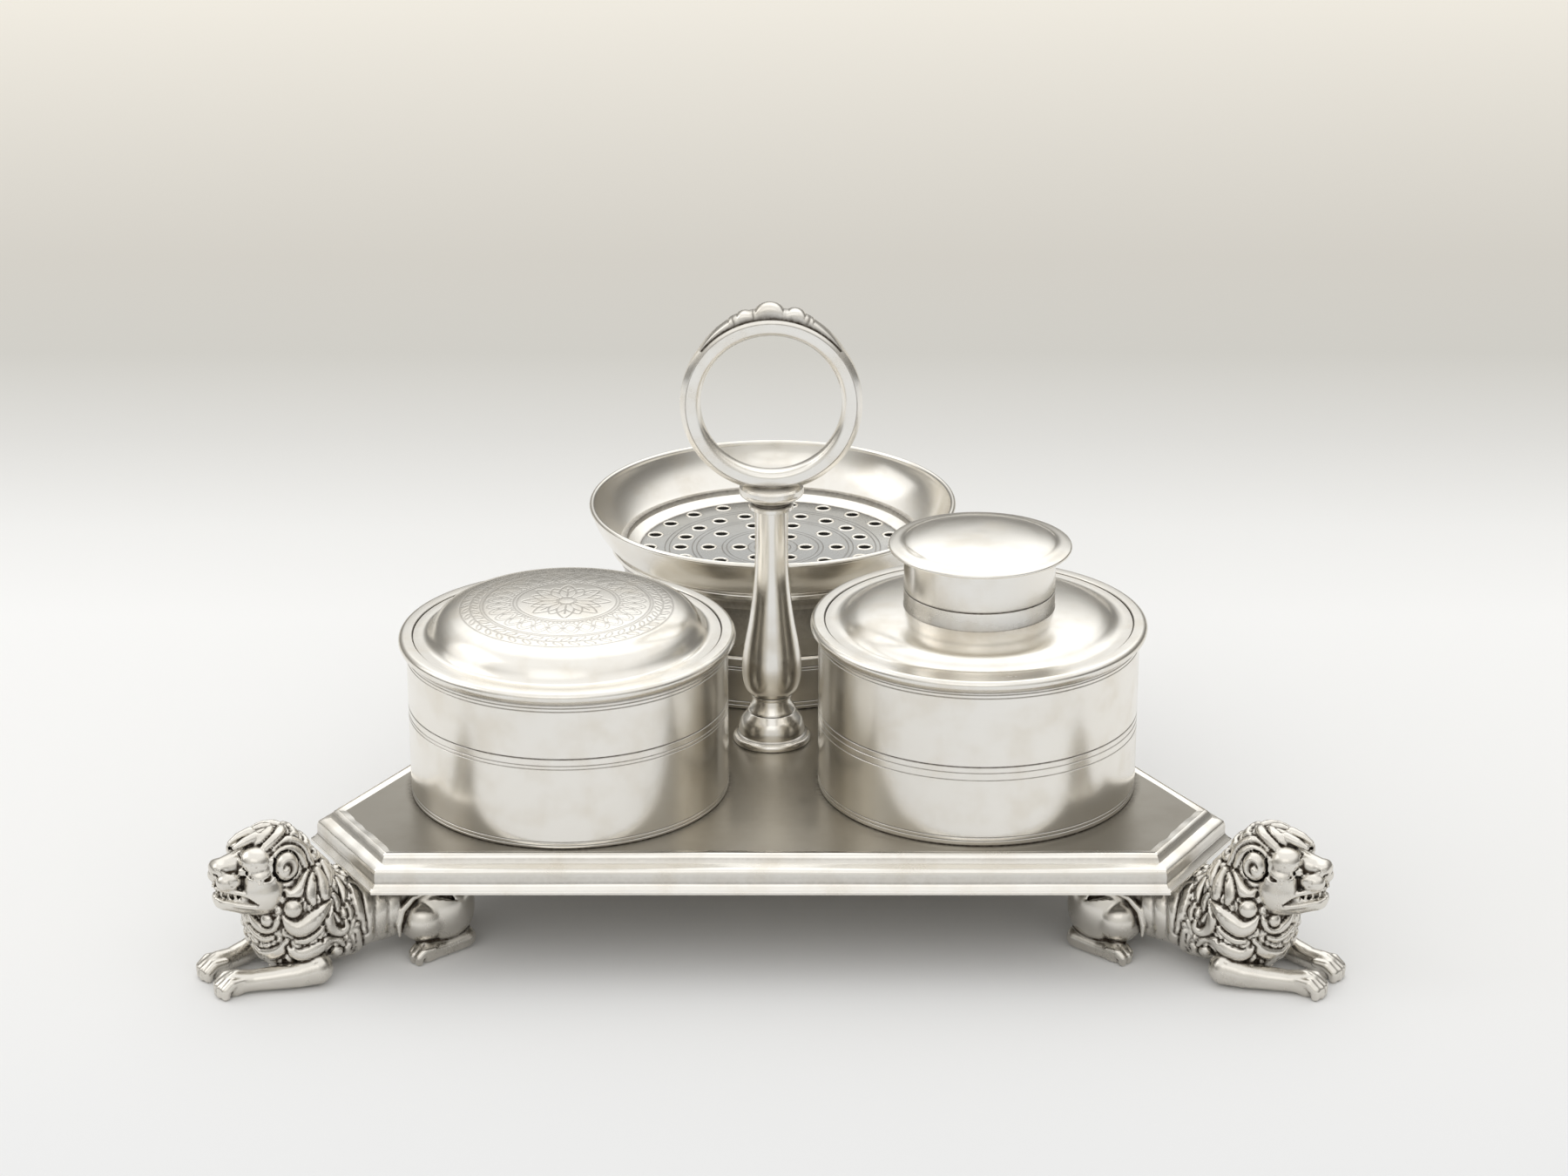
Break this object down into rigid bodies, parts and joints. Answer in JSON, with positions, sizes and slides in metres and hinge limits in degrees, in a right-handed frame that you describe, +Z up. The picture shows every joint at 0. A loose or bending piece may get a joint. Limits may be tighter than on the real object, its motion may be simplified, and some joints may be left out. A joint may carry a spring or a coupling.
{
  "type": "desk inkstand",
  "caption": "Silver desk inkstand: cut-cornered triangular tray on couchant lion feet, with wafer box, ink pot, sander and a turned ring handle.",
  "frame": {"origin": "on the handle's axis, at the table top on which the lions' soles rest", "axes": "+Z up along the handle's axis; -Y to the front, between the wafer box and the ink pot; +X to the ink pot's side, along the front edge of the tray"},
  "size_m": [0.1866, 0.1621, 0.0991],
  "materials": {
    "polished_silver": "hand-polished silver, softly worn, darker in the engraved lines and seams",
    "cast_silver": "cast and chased silver with blackened recesses and rubbed high points",
    "liner_glass": "plain moulded glass",
    "stud_steel": "plain turned steel"
  },
  "bodies": {
    "stand": {"tray_deck": "polished_silver", "tray_border": "polished_silver", "lion_front_left": "cast_silver", "lion_front_right": "cast_silver", "lion_back": "cast_silver", "box_wall": "polished_silver", "box_floor": "polished_silver", "box_rim": "polished_silver", "ink_wall": "polished_silver", "ink_floor": "polished_silver", "ink_rim": "polished_silver", "ink_liner": "liner_glass", "sander_wall": "polished_silver", "sander_floor": "polished_silver", "sander_collar": "polished_silver", "handle_foot": "polished_silver", "handle_baluster": "polished_silver", "handle_knop": "polished_silver", "finger_ring": "polished_silver", "ring_crest": "polished_silver", "handle_stud": "stud_steel", "stud_washer": "stud_steel", "stud_nut": "stud_steel"},
    "box_top": {"box_lid": "polished_silver", "box_lid_bezel": "polished_silver"},
    "ink_top": {"ink_cover": "polished_silver", "ink_cover_bezel": "polished_silver", "ink_neck": "polished_silver"},
    "ink_stopper": {"ink_cap_top": "polished_silver", "ink_cap_skirt": "polished_silver"},
    "sander_top": {"caster_wall": "polished_silver", "caster_ring": "polished_silver", "caster_dish": "polished_silver", "caster_sieve": "polished_silver"}
  },
  "joints": [
    {"name": "box_lift", "type": "slide", "parent": "stand", "child": "box_top", "axis": [0, 0, 1], "range_m": [0, 0.02]},
    {"name": "ink_cover_lift", "type": "slide", "parent": "stand", "child": "ink_top", "axis": [0, 0, 1], "range_m": [0, 0.02]},
    {"name": "ink_cap_lift", "type": "slide", "parent": "ink_top", "child": "ink_stopper", "axis": [0, 0, 1], "range_m": [0, 0.015]},
    {"name": "sander_top_lift", "type": "slide", "parent": "stand", "child": "sander_top", "axis": [0, 0, 1], "range_m": [0, 0.02]}
  ]
}
